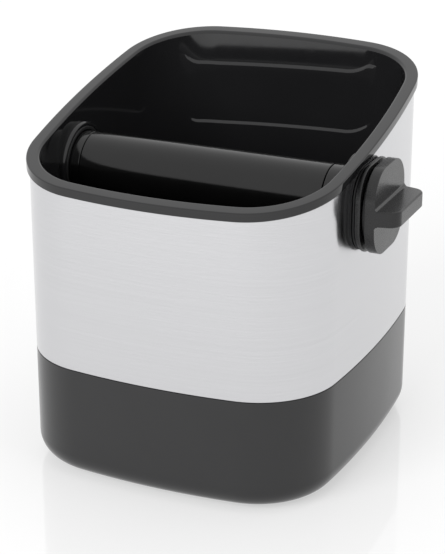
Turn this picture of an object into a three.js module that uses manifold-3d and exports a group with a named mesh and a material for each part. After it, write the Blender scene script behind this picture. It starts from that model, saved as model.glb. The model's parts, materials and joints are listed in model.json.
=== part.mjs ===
// Espresso knock box: a steel banded tub with a padded knock bar that turns and pulls out to the right.
// Millimetres, X to the right, Y to the back, Z up.
// The origin is the centre of the base's underside, and the rubber feet stand proud below it.

import * as THREE from 'three';
import { mergeVertices } from 'three/addons/utils/BufferGeometryUtils.js';
import Module from 'manifold-3d';

const wasm = await Module();
wasm.setup();

// Fits that pieces share
const fit = 0.3;
const runningFit = 0.4;
const overrun = 5;

// Plan outline of the box: four bowed sides joined by round corners
const bodyWidth = 136;
const bodyDepth = 151;
const sideBow = 6.6;
const frontBow = 8.1;
const cornerRadius = 35;

// Rim plane, which climbs towards the back
const rimHeight = 141.7;
const rimAngle = THREE.MathUtils.degToRad(11.75);
const rimOverhang = 1.3;
const rimDepth = 3.5;
const rimOuterEdge = 0.5;
const rimInnerEdge = 1.5;
const rimTopWidth = 4.1;

// Steel sleeve
const seamHeight = 48.2;
const sleeveWall = 0.8;

// Base shell
const baseWall = 3;
const baseFillet = 9.7;
const baseShoulderEdge = 0.3;
const tongueHeight = 5;
const tongueWall = 1.5;
const baseRibHeight = 4;
const baseRibWidth = 1.8;

// Inner bin, with its wall drawn in at a flare and two soft ledges
const binWall = 2.8;
const binFloorHeight = 19;
const binFillet = 10;
const binDraft = 1.8;
const flareDepth = 8;
const flareInset = 0.8;
const ledgeFall = 1.6;
const upperLedgeHeight = 143;
const upperLedgeInset = 0.7;
const lowerLedgeHeight = 117.5;
const lowerLedgeInset = 1;
const ledgeSpacing = 1.5;

// Knock bar and its place
const barY = -13.5;
const collarBelowRim = 2.342;
const barRadius = 14;
const barEndSetback = 0.2;
const coreRadius = 7;
const coreSeat = 2.7;
const rubberEdge = 0.6;
const capLength = 8.2;
const capNose = 1.2;
const hubOversize = 0.1;
const hubLength = 19.7;
const hubWeb = 8.9;

// Left boss and its rubber liner
const bossProud = 2.5;
const bossWall = 1.6;
const bossBack = 1.2;
const linerWall = 1.3;
const linerFloor = 0.6;
const linerLip = 4.3;
const linerProud = 0.2;
const linerEdge = 0.4;

// Collar, gasket and nut on the right wall
const collarMargin = 1.25;
const collarCorner = 12.5;
const collarStand = 2.4;
const collarEdge = 0.5;
const collarTubeWall = 1.7;
const gasketThickness = 0.6;
const gasketInset = 0.6;
const nutThickness = 2.1;
const nutWall = 2.1;
const nutNotch = 1.1;
const nutNotchCount = 6;
const padSetback = 2.5;
const padThickness = 4.7;
const padWall = 1.3;

// Quarter-turn bayonet
const lugHeight = 1.1;
const lugLength = 2.4;
const lugHalfAngle = THREE.MathUtils.degToRad(10);
const lugPlayAngle = THREE.MathUtils.degToRad(3);
const lugRestAngle = THREE.MathUtils.degToRad(45);
const lugTurn = THREE.MathUtils.degToRad(90);
const lipThickness = 3.3;
const lugCount = 2;

// Knob with its grip wing, and the seal in the groove behind it
const knobGroove = 1.9;
const knobThickness = 4;
const knobEdge = 0.4;
const wingReach = 9.4;
const wingThickness = 6.5;
const wingCorner = 4.5;
const wingTaper = THREE.MathUtils.degToRad(12);
const wingRoot = 1.2;
const wingEdge = 0.8;
const plugRadius = 10;
const plugWall = 2.7;
const plugLength = 7.3;
const keyWidth = 3;
const keyHeight = 1.6;
const sealWidth = 2;

// Bar screws and washer
const barScrewRadius = 2.5;
const barScrewHead = 4.6;
const barScrewHeadHeight = 3.1;
const barScrewLength = 19;
const barTapDepth = 20;
const washerRadius = 6.8;
const washerThickness = 0.8;

// Feet and the screws above them
const footSideInset = 26;
const footEndInset = 25.5;
const footRadius = 8;
const footProud = 1;
const footEdge = 0.5;
const footRecess = 1.2;
const postRadius = 6.5;
const postHeight = 6.8;
const bossPostRadius = 4.4;
const baseScrewRadius = 1.6;
const baseScrewHead = 3;
const baseScrewHeadHeight = 2.2;
const baseScrewLength = 10;
const postWeb = 2;

// Cross recess in every screw head
const crossWidth = 1;
const crossDepth = 1.4;
const crossReachShare = 0.7;

// Facet counts
const cornerSteps = 8;
const sideSteps = 3;
const filletSteps = 4;
const edgeSteps = 2;
const barSteps = 28;
const screwSteps = 14;
const shapeSteps = 6;
const trackSteps = 14;

// Values that follow from the sizes above
const rimSlope = Math.tan(rimAngle);
const sleeveInside = sleeveWall + fit;
const rimInside = rimTopWidth + rimInnerEdge - rimOverhang;
const hubRadius = barRadius + hubOversize;
const collarBore = hubRadius + runningFit;
const collarTube = collarBore + collarTubeWall;
const collarHole = collarTube + fit;
const collarHalf = collarHole + collarMargin;
const collarFace = bodyWidth / 2 + collarStand;
const padOuterFace = bodyWidth / 2 - padSetback;
const padInnerFace = padOuterFace - padThickness;
const barZ = rimHeight + rimSlope * barY - rimDepth - collarBelowRim - collarHalf;
const footX = bodyWidth / 2 - footSideInset;
const footY = bodyDepth / 2 - footEndInset;
const knobBack = collarFace + knobGroove;
const knobFace = knobBack + knobThickness;
const hubFront = knobBack - fit;
const hubBack = hubFront - hubLength;
const hubRecess = hubBack + coreSeat + fit + hubWeb;
const coreRight = hubBack + coreSeat;
const rubberRight = hubBack - fit;
const bossFace = -bodyWidth / 2 + rimInside + flareInset + upperLedgeInset + bossProud;
const linerRadius = barRadius + fit + linerWall;
const bossRadius = linerRadius + fit + bossWall;
const linerOpen = bossFace + linerProud;
const capLeft = linerOpen - linerLip + linerEdge;
const linerBack = capLeft - fit - linerFloor;
const bossBackFace = linerBack - fit - bossBack;
const capRight = capLeft + capLength;
const coreLeft = capRight - coreSeat;
const rubberLeft = capRight + fit;
const lugBack = collarFace - lipThickness - fit - lugLength;

const steel = new THREE.MeshStandardMaterial({ color: 0xc8c9ca, roughness: 0.32, metalness: 1 });
const brightSteel = new THREE.MeshStandardMaterial({ color: 0xb9bbbe, roughness: 0.25, metalness: 1 });
const baseBlack = new THREE.MeshStandardMaterial({ color: 0x47474a, roughness: 0.5, metalness: 0 });
const glossBlack = new THREE.MeshStandardMaterial({ color: 0x141415, roughness: 0.18, metalness: 0 });
const knobBlack = new THREE.MeshStandardMaterial({ color: 0x3a3a3c, roughness: 0.45, metalness: 0 });
const rubberBlack = new THREE.MeshStandardMaterial({ color: 0x1b1b1c, roughness: 0.6, metalness: 0 });

const knockBox = new THREE.Group();

function addPiece(name, solid, material) {
  const mesh = new THREE.Mesh(toGeometry(solid), material);
  mesh.name = name;
  knockBox.add(mesh);
}

// Solids and meshes
function signedVolume(position, index) {
  const a = new THREE.Vector3();
  const b = new THREE.Vector3();
  const c = new THREE.Vector3();
  let sum = 0;
  for (let i = 0; i < index.length; i += 3) {
    a.fromArray(position, 3 * index[i]);
    b.fromArray(position, 3 * index[i + 1]);
    c.fromArray(position, 3 * index[i + 2]);
    sum += a.dot(b.cross(c));
  }
  return sum;
}

function toSolid(geometry) {
  const bare = geometry.clone();
  bare.deleteAttribute('normal');
  bare.deleteAttribute('uv');
  const welded = mergeVertices(bare);
  const position = welded.getAttribute('position').array;
  const kept = [];
  const index = welded.index.array;
  for (let i = 0; i < index.length; i += 3) {
    const [p, q, r] = [index[i], index[i + 1], index[i + 2]];
    if (p !== q && q !== r && r !== p) kept.push(p, q, r);
  }
  if (signedVolume(position, kept) < 0) kept.reverse();
  const mesh = new wasm.Mesh({ numProp: 3, vertProperties: position, triVerts: new Uint32Array(kept) });
  return new wasm.Manifold(mesh);
}

function toGeometry(solid) {
  const mesh = solid.getMesh();
  const geometry = new THREE.BufferGeometry();
  geometry.setAttribute('position', new THREE.BufferAttribute(new Float32Array(mesh.vertProperties), 3));
  geometry.setIndex(new THREE.BufferAttribute(new Uint32Array(mesh.triVerts), 1));
  geometry.computeVertexNormals();
  return geometry;
}

// Points and outward normals of the plan outline, anticlockwise from the middle of the right side
function planOutline() {
  const halfWidth = bodyWidth / 2;
  const halfDepth = bodyDepth / 2;
  const sideRadius = (halfDepth ** 2 + sideBow ** 2) / (2 * sideBow);
  const frontRadius = (halfWidth ** 2 + frontBow ** 2) / (2 * frontBow);
  const sideCentre = new THREE.Vector2(halfWidth - sideRadius, 0);
  const frontCentre = new THREE.Vector2(0, halfDepth - frontRadius);
  const between = frontCentre.clone().sub(sideCentre);
  const span = between.length();
  const toSide = sideRadius - cornerRadius;
  const toFront = frontRadius - cornerRadius;
  const along = (span ** 2 + toSide ** 2 - toFront ** 2) / (2 * span);
  const across = Math.sqrt(toSide ** 2 - along ** 2);
  between.normalize();
  const cornerCentre = new THREE.Vector2(
    sideCentre.x + between.x * along - between.y * across,
    sideCentre.y + between.y * along + between.x * across,
  );
  const sideEnd = cornerCentre.clone().sub(sideCentre).angle();
  const frontStart = cornerCentre.clone().sub(frontCentre).angle();
  const quarter = [];
  const addArc = (centre, radius, from, to, steps) => {
    for (let i = 0; i < steps; i += 1) {
      const angle = from + ((to - from) * i) / steps;
      const normal = new THREE.Vector2(Math.cos(angle), Math.sin(angle));
      quarter.push({ normal, point: normal.clone().multiplyScalar(radius).add(centre) });
    }
  };
  addArc(sideCentre, sideRadius, 0, sideEnd, sideSteps);
  addArc(cornerCentre, cornerRadius, sideEnd, frontStart, cornerSteps);
  addArc(frontCentre, frontRadius, frontStart, Math.PI / 2, sideSteps);
  addArc(frontCentre, frontRadius, Math.PI / 2, Math.PI / 2, 1);
  const flip = (entry, sx, sy) => ({
    point: new THREE.Vector2(entry.point.x * sx, entry.point.y * sy),
    normal: new THREE.Vector2(entry.normal.x * sx, entry.normal.y * sy),
  });
  const backLeft = quarter.slice(0, -1).reverse().map((entry) => flip(entry, -1, 1));
  const upperHalf = [...quarter, ...backLeft];
  const lowerHalf = upperHalf.slice(1, -1).reverse().map((entry) => flip(entry, 1, -1));
  return [...upperHalf, ...lowerHalf];
}

const outline = planOutline();

const rimTop = (y) => rimHeight + rimSlope * y;
const level = (height) => () => height;
const underRim = (drop) => (y) => rimTop(y) - drop;
const lowerOf = (height, drop) => (y) => Math.min(height, rimTop(y) - drop);

// A ring follows the outline, moved outwards by grow, at a height that may change with y
const ring = (grow, heightAt) => ({ grow, heightAt });

// Skin over a stack of rings. An open stack is capped at both ends, and a closed one joins its
// last ring to its first.
function ringSkin(rings, closed) {
  const position = [];
  const index = [];
  const count = outline.length;
  for (const { grow, heightAt } of rings) {
    for (const { point, normal } of outline) {
      const x = point.x + normal.x * grow;
      const y = point.y + normal.y * grow;
      position.push(x, y, heightAt(y));
    }
  }
  const bands = closed ? rings.length : rings.length - 1;
  for (let r = 0; r < bands; r += 1) {
    const next = (r + 1) % rings.length;
    for (let i = 0; i < count; i += 1) {
      const j = (i + 1) % count;
      const [a, b] = [r * count + i, r * count + j];
      const [c, d] = [next * count + j, next * count + i];
      index.push(a, b, c, a, c, d);
    }
  }
  if (!closed) {
    const last = rings.length - 1;
    const bottomCentre = position.length / 3;
    position.push(0, 0, rings[0].heightAt(0));
    position.push(0, 0, rings[last].heightAt(0));
    for (let i = 0; i < count; i += 1) {
      const j = (i + 1) % count;
      index.push(bottomCentre, j, i);
      index.push(bottomCentre + 1, last * count + i, last * count + j);
    }
  }
  const geometry = new THREE.BufferGeometry();
  geometry.setAttribute('position', new THREE.Float32BufferAttribute(position, 3));
  geometry.setIndex(index);
  return geometry;
}

// Rings of a quarter round. Turn runs from 0, at the foot of the round, to 1, where it meets the wall.
function roundRings(grow, height, radius, steps, rising) {
  const rings = [];
  for (let i = 0; i <= steps; i += 1) {
    const turn = rising ? i / steps : 1 - i / steps;
    const angle = (turn * Math.PI) / 2;
    const inset = radius * (1 - Math.sin(angle));
    rings.push(ring(grow - inset, level(height + radius * (1 - Math.cos(angle)))));
  }
  return rings;
}

// Extrusions and turned pieces
const axesAlongX = new THREE.Matrix4().makeBasis(
  new THREE.Vector3(0, 1, 0),
  new THREE.Vector3(0, 0, 1),
  new THREE.Vector3(1, 0, 0),
);
const axesAlongY = new THREE.Matrix4().makeBasis(
  new THREE.Vector3(1, 0, 0),
  new THREE.Vector3(0, 0, 1),
  new THREE.Vector3(0, -1, 0),
);

function extrude(shape, depth, edge = 0, steps = shapeSteps) {
  const bevelled = edge > 0;
  return new THREE.ExtrudeGeometry(shape, {
    depth: depth - 2 * edge,
    curveSegments: steps,
    bevelEnabled: bevelled,
    bevelThickness: edge,
    bevelSize: edge,
    bevelOffset: -edge,
    bevelSegments: bevelled ? 2 : 0,
  }).translate(0, 0, edge);
}

// A shape drawn in Y and Z about the bar's axis, filled from one X to another
function alongX(shape, from, to, edge, steps) {
  const prism = extrude(shape, to - from, edge, steps).applyMatrix4(axesAlongX);
  return toSolid(prism.translate(from, barY, barZ));
}

// A profile of [x, radius] pairs turned about the bar's axis
function turnedOnBar(profile, steps = barSteps) {
  const points = profile.map(([x, radius]) => new THREE.Vector2(radius, x));
  const geometry = new THREE.LatheGeometry(points, steps);
  geometry.rotateZ(-Math.PI / 2);
  return toSolid(geometry.translate(0, barY, barZ));
}

// A profile of [radius, z] pairs turned about an upright axis
function turnedUpright(profile, x, y, steps = barSteps) {
  const points = profile.map(([radius, z]) => new THREE.Vector2(radius, z));
  const geometry = new THREE.LatheGeometry(points, steps);
  geometry.rotateX(Math.PI / 2);
  return toSolid(geometry.translate(x, y, 0));
}

const diskOnBar = (radius, from, to, steps) =>
  turnedOnBar([[from, 0], [from, radius], [to, radius], [to, 0]], steps);
const diskUpright = (radius, from, to, x, y, steps) =>
  turnedUpright([[0, from], [radius, from], [radius, to], [0, to]], x, y, steps);

function box(width, depth, height, x, y, z) {
  return toSolid(new THREE.BoxGeometry(width, depth, height).translate(x, y, z));
}

function roundedSquare(half, corner) {
  const inner = half - corner;
  const shape = new THREE.Shape();
  shape.absarc(inner, inner, corner, 0, Math.PI / 2);
  shape.absarc(-inner, inner, corner, Math.PI / 2, Math.PI);
  shape.absarc(-inner, -inner, corner, Math.PI, 1.5 * Math.PI);
  shape.absarc(inner, -inner, corner, 1.5 * Math.PI, 2 * Math.PI);
  return shape;
}

function sector(inner, outer, from, to) {
  const shape = new THREE.Shape();
  shape.absarc(0, 0, outer, from, to, false);
  shape.absarc(0, 0, inner, to, from, true);
  return shape;
}

function atLugs(makeSolid) {
  const solids = [];
  for (let i = 0; i < lugCount; i += 1) {
    solids.push(makeSolid(lugRestAngle + (i * 2 * Math.PI) / lugCount));
  }
  return solids;
}

const cut = (solid, cutters) => cutters.reduce((left, cutter) => left.subtract(cutter), solid);
const join = (solid, others) => others.reduce((whole, other) => whole.add(other), solid);

const footPlaces = [
  [-footX, -footY],
  [footX, -footY],
  [footX, footY],
  [-footX, footY],
];

// Steel sleeve, trapped between the base's shoulder and the rim
function outerSleeve() {
  const bottom = level(seamHeight + fit / 2);
  const top = underRim(rimDepth + fit);
  const band = ringSkin([
    ring(0, bottom),
    ring(0, top),
    ring(-sleeveWall, top),
    ring(-sleeveWall, bottom),
  ], true);
  return toSolid(band).subtract(diskOnBar(collarHole, bodyWidth / 4, bodyWidth));
}

// Base shell: round lower edge, shoulder under the sleeve and a tongue inside it
function baseShell() {
  const shoulder = seamHeight - fit / 2;
  const tongueTop = shoulder + tongueHeight;
  const tongueInside = -sleeveInside - tongueWall;
  const shell = toSolid(ringSkin([
    ...roundRings(0, 0, baseFillet, filletSteps, true),
    ring(0, level(shoulder - baseShoulderEdge)),
    ring(-baseShoulderEdge, level(shoulder)),
    ring(-sleeveInside, level(shoulder)),
    ring(-sleeveInside, level(tongueTop)),
    ring(tongueInside, level(tongueTop)),
    ring(tongueInside, level(shoulder)),
    ring(-baseWall, level(shoulder - tongueWall)),
    ...roundRings(-baseWall, baseWall, baseFillet - baseWall, filletSteps, false),
  ], false));
  const ribZ = baseWall + baseRibHeight / 2 - fit;
  const ribTall = baseRibHeight + 2 * fit;
  const ribs = [];
  for (const side of [-1, 1]) {
    ribs.push(box(2 * footX, baseRibWidth, ribTall, 0, side * footY, ribZ));
    ribs.push(box(baseRibWidth, 2 * footY, ribTall, side * footX, 0, ribZ));
  }
  const posts = footPlaces.map(([x, y]) => diskUpright(postRadius, baseWall - fit, postHeight, x, y));
  const headSeat = postHeight - postWeb;
  const cutters = footPlaces.flatMap(([x, y]) => [
    diskUpright(footRadius + fit, -overrun, footRecess, x, y),
    diskUpright(baseScrewHead + runningFit, 0, headSeat, x, y, screwSteps),
    diskUpright(baseScrewRadius + fit, 0, postHeight + overrun, x, y, screwSteps),
  ]);
  return cut(join(shell, [...ribs, ...posts]), cutters);
}

// Inner bin: rim flange on the sloping plane, flare, two ledges, drafted wall and round floor
function innerBin() {
  const flare = -rimInside - flareInset;
  const middle = flare - upperLedgeInset;
  const lower = middle - lowerLedgeInset;
  const foot = lower - binDraft;
  const flareDrop = rimInnerEdge + flareDepth;
  const upperDrop = flareDrop + ledgeSpacing;
  const lowerDrop = upperDrop + ledgeFall + ledgeSpacing;
  const outerDrop = lowerDrop + ledgeFall;
  const upperFoot = upperLedgeHeight - ledgeFall;
  const lowerFoot = lowerLedgeHeight - ledgeFall;
  const innerEdge = [];
  const outerEdge = [];
  for (let i = 0; i <= edgeSteps; i += 1) {
    const angle = ((i / edgeSteps) * Math.PI) / 2;
    const outerInset = rimOuterEdge * (1 - Math.cos(angle));
    const outerFall = rimOuterEdge * (1 - Math.sin(angle));
    outerEdge.push(ring(rimOverhang - outerInset, underRim(outerFall)));
    const innerShift = rimInnerEdge * (1 - Math.sin(angle));
    const innerFall = rimInnerEdge * (1 - Math.cos(angle));
    innerEdge.push(ring(-rimInside + innerShift, underRim(innerFall)));
  }
  const tub = toSolid(ringSkin([
    ...roundRings(foot + binWall, binFloorHeight - binWall, binFillet + binWall, filletSteps, true),
    ring(lower + binWall, lowerOf(lowerFoot - binWall, outerDrop + binWall)),
    ring(middle + binWall, lowerOf(lowerLedgeHeight - binWall, lowerDrop + binWall)),
    ring(middle + binWall, lowerOf(upperFoot - binWall, upperDrop + binWall)),
    ring(flare + binWall, lowerOf(upperLedgeHeight - binWall, flareDrop + binWall)),
    ring(-rimInside + binWall, underRim(rimDepth + fit)),
    ring(-rimInside + binWall, underRim(rimDepth)),
    ring(rimOverhang, underRim(rimDepth)),
    ...outerEdge,
    ...innerEdge,
    ring(flare, underRim(flareDrop)),
    ring(flare, lowerOf(upperLedgeHeight, upperDrop)),
    ring(middle, lowerOf(upperFoot, upperDrop + ledgeFall)),
    ring(middle, lowerOf(lowerLedgeHeight, lowerDrop)),
    ring(lower, lowerOf(lowerFoot, outerDrop)),
    ...roundRings(foot, binFloorHeight, binFillet, filletSteps, false),
  ], false));

  const bossInside = bossFace - bossProud - binWall / 2;
  const arch = new THREE.Shape();
  const archFoot = binFloorHeight + binFillet - barZ;
  arch.moveTo(-bossRadius, archFoot);
  arch.lineTo(bossRadius, archFoot);
  arch.lineTo(bossRadius, 0);
  arch.absarc(0, 0, bossRadius, 0, Math.PI, false);
  const padRadius = collarHole + nutWall + fit + padWall;
  const added = [
    alongX(arch, bossInside, bossFace),
    diskOnBar(bossRadius, bossBackFace, bossInside + binWall / 2),
    diskOnBar(padRadius, padInnerFace, padOuterFace),
  ];
  const bossPosts = footPlaces.map(([x, y]) =>
    diskUpright(bossPostRadius, postHeight + fit, binFloorHeight - binWall / 2, x, y));
  const cutters = [
    diskOnBar(linerRadius + fit, linerBack - fit, bossFace + overrun),
    diskOnBar(collarHole, padInnerFace - overrun, padOuterFace + overrun),
    diskOnBar(collarHole + nutWall + fit, padInnerFace - overrun, padInnerFace + nutThickness + fit),
  ];
  const pilotTop = postHeight - postWeb + baseScrewLength;
  const pilots = footPlaces.map(([x, y]) =>
    diskUpright(baseScrewRadius + fit, 0, pilotTop, x, y, screwSteps));
  return cut(join(tub, [...added, ...bossPosts]), [...cutters, ...pilots]);
}

// Rubber liner in the left boss
function socketLiner() {
  const bore = barRadius + fit - barEndSetback;
  return turnedOnBar([
    [linerBack, bore - linerLip],
    [linerBack, linerRadius],
    [linerOpen - linerEdge, linerRadius],
    [linerOpen, linerRadius - linerEdge],
    [linerOpen, bore + linerEdge],
    [linerOpen - linerEdge, bore],
    [linerBack + linerFloor, bore],
    [linerBack + linerFloor, bore - linerLip],
    [linerBack, bore - linerLip],
  ]);
}

// Collar: a rounded-square flange shaped to the bowed steel, and a tube with the bayonet track
function collarRing() {
  const nutFace = padInnerFace - fit;
  const wallOutside = toSolid(ringSkin([
    ring(gasketThickness + 2 * fit, level(0)),
    ring(gasketThickness + 2 * fit, level(2 * barZ)),
  ], false));
  const flange = alongX(roundedSquare(collarHalf, collarCorner), bodyWidth / 4, collarFace, collarEdge);
  const tube = diskOnBar(collarTube, nutFace, collarFace - collarEdge);
  const body = flange.subtract(wallOutside).add(tube);
  const trackTop = hubRadius + lugHeight + fit;
  const half = lugHalfAngle + lugPlayAngle;
  const trackBack = lugBack - fit;
  const trackFront = collarFace - lipThickness;
  const slot = (angle) => alongX(
    sector(collarBore - fit, trackTop, angle - half, angle + half),
    trackBack,
    collarFace + overrun,
  );
  const track = (angle) => alongX(
    sector(collarBore - fit, trackTop, angle - lugTurn - half, angle + half),
    trackBack,
    trackFront,
    0,
    trackSteps,
  );
  const bore = diskOnBar(collarBore, bodyWidth / 4, collarFace + overrun);
  return cut(body, [bore, ...atLugs(slot), ...atLugs(track)]);
}

// Gasket between the collar's flange and the steel
function collarGasket() {
  const shellAt = (grow) => toSolid(ringSkin([ring(grow, level(0)), ring(grow, level(2 * barZ))], false));
  const sheet = shellAt(fit + gasketThickness).subtract(shellAt(fit));
  const half = collarHalf - gasketInset;
  const blank = alongX(roundedSquare(half, collarCorner - gasketInset), bodyWidth / 4, collarFace);
  return sheet.intersect(blank).subtract(diskOnBar(collarHole, bodyWidth / 4, bodyWidth));
}

// Ring nut let into the bin's pad
function collarNut() {
  const outer = collarHole + nutWall;
  const blank = diskOnBar(outer, padInnerFace, padInnerFace + nutThickness);
  const notches = [];
  for (let i = 0; i < nutNotchCount; i += 1) {
    const angle = (i * 2 * Math.PI) / nutNotchCount;
    const halfAngle = nutNotch / outer;
    const shape = sector(outer - nutNotch, outer + overrun, angle - halfAngle, angle + halfAngle);
    notches.push(alongX(shape, padInnerFace - fit, padInnerFace + nutThickness / 2));
  }
  const bore = diskOnBar(collarHole, padInnerFace - overrun, padInnerFace + overrun);
  return cut(blank, [bore, ...notches]);
}

// Steel core with a tapped hole in each end
function barCore() {
  const tap = barScrewRadius + fit;
  return cut(diskOnBar(coreRadius, coreLeft, coreRight), [
    diskOnBar(tap, coreLeft - overrun, coreLeft + barTapDepth, screwSteps),
    diskOnBar(tap, coreRight - barTapDepth, coreRight + overrun, screwSteps),
  ]);
}

// Thick rubber sleeve with soft end edges
function barRubber() {
  const bore = coreRadius + fit;
  return turnedOnBar([
    [rubberLeft, bore],
    [rubberLeft, barRadius - rubberEdge],
    [rubberLeft + rubberEdge, barRadius],
    [rubberRight - rubberEdge, barRadius],
    [rubberRight, barRadius - rubberEdge],
    [rubberRight, bore],
    [rubberLeft, bore],
  ]);
}

// End cap with a tapered nose that finds the liner
function barEndCap() {
  const radius = barRadius - barEndSetback;
  const headSeat = capLeft + barScrewHeadHeight + 2 * fit;
  return cut(
    turnedOnBar([
      [capLeft, 0],
      [capLeft, radius - capNose],
      [capLeft + capNose, radius],
      [capRight - rubberEdge, radius],
      [capRight, radius - rubberEdge],
      [capRight, 0],
    ]),
    [
      diskOnBar(barScrewHead + fit, capLeft - overrun, headSeat, screwSteps),
      diskOnBar(barScrewRadius + fit, capLeft, capRight, screwSteps),
      diskOnBar(coreRadius + fit, coreLeft - fit, capRight + overrun),
    ],
  );
}

// Screw on the bar's axis. Way is 1 where its tip points right and -1 where it points left.
function barScrew(headSeat, way) {
  const headTop = headSeat - way * barScrewHeadHeight;
  const tip = headSeat + way * barScrewLength;
  const screw = turnedOnBar([
    [headTop, 0],
    [headTop, barScrewHead - rubberEdge],
    [headTop + way * rubberEdge, barScrewHead],
    [headSeat, barScrewHead],
    [headSeat, barScrewRadius],
    [tip - way * rubberEdge, barScrewRadius],
    [tip, barScrewRadius - rubberEdge],
    [tip, 0],
  ], screwSteps);
  const arm = 2 * barScrewHead * crossReachShare;
  const deep = 2 * crossDepth;
  return cut(screw, [
    box(deep, arm, crossWidth, headTop, barY, barZ),
    box(deep, crossWidth, arm, headTop, barY, barZ),
  ]);
}

// Hub that runs in the collar, with two bayonet lugs and a keyed recess for the knob
function barHub() {
  const body = turnedOnBar([
    [hubBack, 0],
    [hubBack, hubRadius - rubberEdge],
    [hubBack + rubberEdge, hubRadius],
    [hubFront, hubRadius],
    [hubFront, 0],
  ]);
  const lug = (angle) => alongX(
    sector(coreRadius, hubRadius + lugHeight, angle - lugHalfAngle, angle + lugHalfAngle),
    lugBack,
    lugBack + lugLength,
  );
  const keyway = plugRadius + keyHeight + 2 * fit;
  return cut(join(body, atLugs(lug)), [
    diskOnBar(coreRadius + fit, hubBack - overrun, hubBack + coreSeat + fit),
    diskOnBar(barScrewRadius + fit, hubBack, hubFront, screwSteps),
    diskOnBar(plugRadius + fit, hubRecess, hubFront + overrun),
    box(hubLength, keyWidth + 2 * fit, keyway, hubRecess + hubLength / 2, barY, barZ + keyway / 2),
  ]);
}

function hubWasher() {
  const back = hubRecess + fit;
  const washer = diskOnBar(washerRadius, back, back + washerThickness);
  return washer.subtract(diskOnBar(barScrewRadius + fit, back - overrun, back + overrun, screwSteps));
}

// Flat seal in the groove between collar and knob
function faceSeal() {
  const inside = hubRadius + runningFit;
  const from = collarFace + fit;
  const to = knobBack - fit;
  return turnedOnBar([
    [from, inside],
    [from, inside + sealWidth],
    [to, inside + sealWidth],
    [to, inside],
    [from, inside],
  ]);
}

// Knob: plate, keyed plug and grip wing
function knob() {
  const plate = alongX(roundedSquare(collarHalf, collarCorner), knobBack, knobFace, knobEdge);
  const plugBack = knobBack - plugLength;
  const plug = diskOnBar(plugRadius, plugBack, knobBack + knobThickness / 2);
  const keyLong = plugLength + knobThickness / 2;
  const keyTall = keyHeight + plugWall / 2;
  const keyX = plugBack + keyLong / 2;
  const key = box(keyLong, keyWidth, keyTall, keyX, barY, barZ + plugRadius + keyHeight - keyTall / 2);
  const bore = diskOnBar(plugRadius - plugWall, plugBack - overrun, knobBack);

  // The wing is its section along Y, trimmed by its plan outline
  const wingFace = knobFace + wingReach;
  const halfThick = wingThickness / 2;
  const section = new THREE.Shape();
  section.moveTo(knobFace - knobEdge, -halfThick - wingRoot);
  section.lineTo(knobFace, -halfThick - wingRoot);
  section.absarc(knobFace + wingRoot, -halfThick - wingRoot, wingRoot, Math.PI, Math.PI / 2, true);
  section.absarc(wingFace - wingEdge, -halfThick + wingEdge, wingEdge, -Math.PI / 2, 0, false);
  section.absarc(wingFace - wingEdge, halfThick - wingEdge, wingEdge, 0, Math.PI / 2, false);
  section.absarc(knobFace + wingRoot, halfThick + wingRoot, wingRoot, -Math.PI / 2, -Math.PI, true);
  section.lineTo(knobFace - knobEdge, halfThick + wingRoot);
  const bar = extrude(section, 2 * collarHalf).applyMatrix4(axesAlongY);
  const blank = toSolid(bar.translate(0, barY + collarHalf, barZ));
  const plan = new THREE.Shape();
  const cornerX = wingFace - wingCorner;
  const sideEnd = collarHalf - (cornerX - knobFace) * Math.tan(wingTaper);
  const cornerY = sideEnd - wingCorner / Math.cos(wingTaper);
  plan.moveTo(knobBack + knobEdge, -collarHalf);
  plan.lineTo(knobFace, -collarHalf);
  plan.absarc(cornerX, -cornerY, wingCorner, wingTaper - Math.PI / 2, 0, false);
  plan.absarc(cornerX, cornerY, wingCorner, 0, Math.PI / 2 - wingTaper, false);
  plan.lineTo(knobFace, collarHalf);
  plan.lineTo(knobBack + knobEdge, collarHalf);
  const trimHeight = 2 * collarHalf;
  const trim = toSolid(extrude(plan, trimHeight).translate(0, barY, barZ - trimHeight / 2));
  const wing = blank.intersect(trim);
  return plate.add(plug).add(key).subtract(bore).add(wing);
}

function foot(x, y) {
  const top = footRecess - fit;
  return turnedUpright([
    [0, -footProud],
    [footRadius - footEdge, -footProud],
    [footRadius, footEdge - footProud],
    [footRadius, top],
    [0, top],
  ], x, y, barSteps);
}

function baseScrew(x, y) {
  const seat = postHeight - postWeb - fit;
  const headBottom = seat - baseScrewHeadHeight;
  const tip = seat + baseScrewLength - fit;
  const screw = turnedUpright([
    [0, headBottom],
    [baseScrewHead, headBottom],
    [baseScrewHead, seat],
    [baseScrewRadius, seat],
    [baseScrewRadius, tip - baseScrewRadius],
    [0, tip],
  ], x, y, screwSteps);
  const arm = 2 * baseScrewHead * crossReachShare;
  const deep = 2 * crossDepth;
  return cut(screw, [
    box(arm, crossWidth, deep, x, y, headBottom),
    box(crossWidth, arm, deep, x, y, headBottom),
  ]);
}

addPiece('outer_sleeve', outerSleeve(), steel);
addPiece('base_shell', baseShell(), baseBlack);
addPiece('inner_bin', innerBin(), glossBlack);
addPiece('socket_liner', socketLiner(), rubberBlack);
addPiece('collar_ring', collarRing(), knobBlack);
addPiece('collar_gasket', collarGasket(), rubberBlack);
addPiece('collar_nut', collarNut(), knobBlack);
addPiece('bar_core', barCore(), brightSteel);
addPiece('bar_rubber', barRubber(), rubberBlack);
addPiece('bar_end_cap', barEndCap(), knobBlack);
addPiece('bar_end_screw', barScrew(capLeft + barScrewHeadHeight + fit, 1), brightSteel);
addPiece('bar_hub', barHub(), knobBlack);
addPiece('hub_washer', hubWasher(), brightSteel);
addPiece('hub_screw', barScrew(hubRecess + washerThickness + 2 * fit, -1), brightSteel);
addPiece('face_seal', faceSeal(), rubberBlack);
addPiece('knob', knob(), knobBlack);
footPlaces.forEach(([x, y], i) => {
  addPiece(`foot_${i + 1}`, foot(x, y), rubberBlack);
  addPiece(`base_screw_${i + 1}`, baseScrew(x, y), brightSteel);
});

export default knockBox;
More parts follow.
